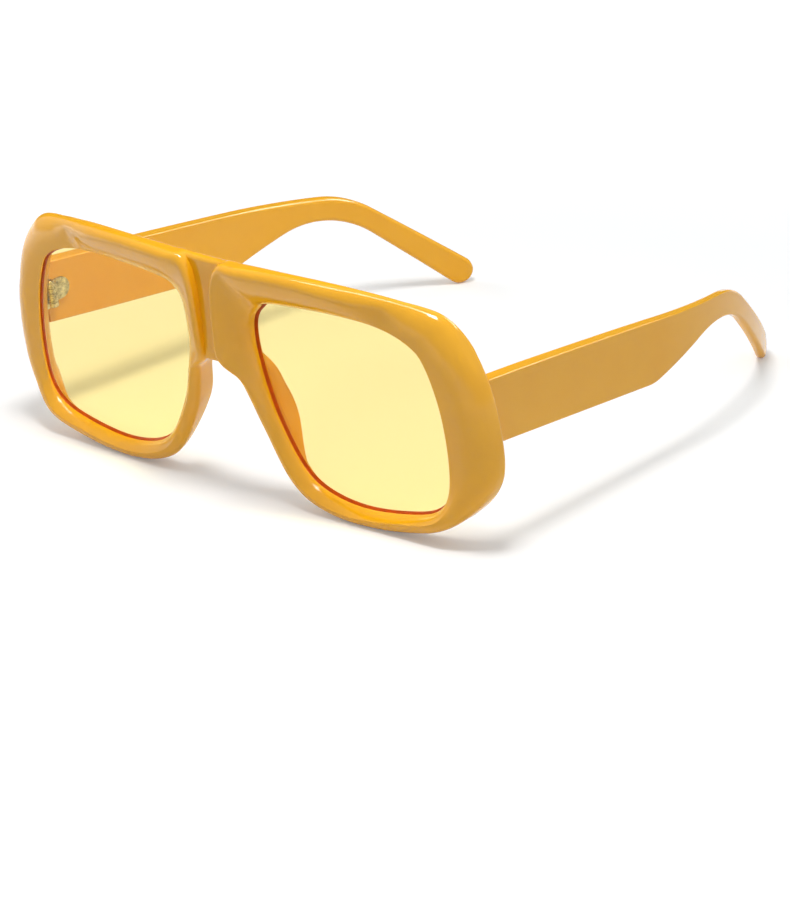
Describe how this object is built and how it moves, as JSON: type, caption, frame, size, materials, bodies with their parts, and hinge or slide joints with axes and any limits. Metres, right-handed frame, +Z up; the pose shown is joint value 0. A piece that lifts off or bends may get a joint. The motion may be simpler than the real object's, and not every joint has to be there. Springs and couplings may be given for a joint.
{
  "type": "sunglasses",
  "caption": "Oversized moulded sunglasses with a deep wraparound front, tinted lenses and temples that fold on metal hinges.",
  "frame": {"origin": "on the floor under the middle of the bounding box, with the glasses standing open on the lower edges of the rims and on the temple tips", "axes": "+Z up, -Y is the way the front faces, +Y runs back along the temples, +X is the wearer's left"},
  "size_m": [0.1494, 0.1418, 0.0583],
  "materials": {
    "frame_plastic": "gloss mustard, moulded",
    "lens_plastic": "polished, tinted pale yellow, see-through",
    "hinge_metal": "nickel plated"
  },
  "bodies": {
    "front": {"front_frame": "frame_plastic", "lens_left": "lens_plastic", "lens_right": "lens_plastic", "front_hinge_leaf_left": "hinge_metal", "front_hinge_leaf_right": "hinge_metal", "hinge_screw_left": "hinge_metal", "hinge_screw_right": "hinge_metal"},
    "left_temple": {"temple_left": "frame_plastic", "temple_hinge_leaf_left": "hinge_metal"},
    "right_temple": {"temple_right": "frame_plastic", "temple_hinge_leaf_right": "hinge_metal"}
  },
  "joints": [
    {"name": "fold_left", "type": "hinge", "parent": "front", "child": "left_temple", "pos_m": [0.06621, -0.05436, 0.03172], "axis": [0, -0.0546, 0.9985], "range_deg": [0, 82]},
    {"name": "fold_right", "type": "hinge", "parent": "front", "child": "right_temple", "pos_m": [-0.06621, -0.05436, 0.03172], "axis": [0, 0.0546, -0.9985], "range_deg": [0, 75]}
  ]
}
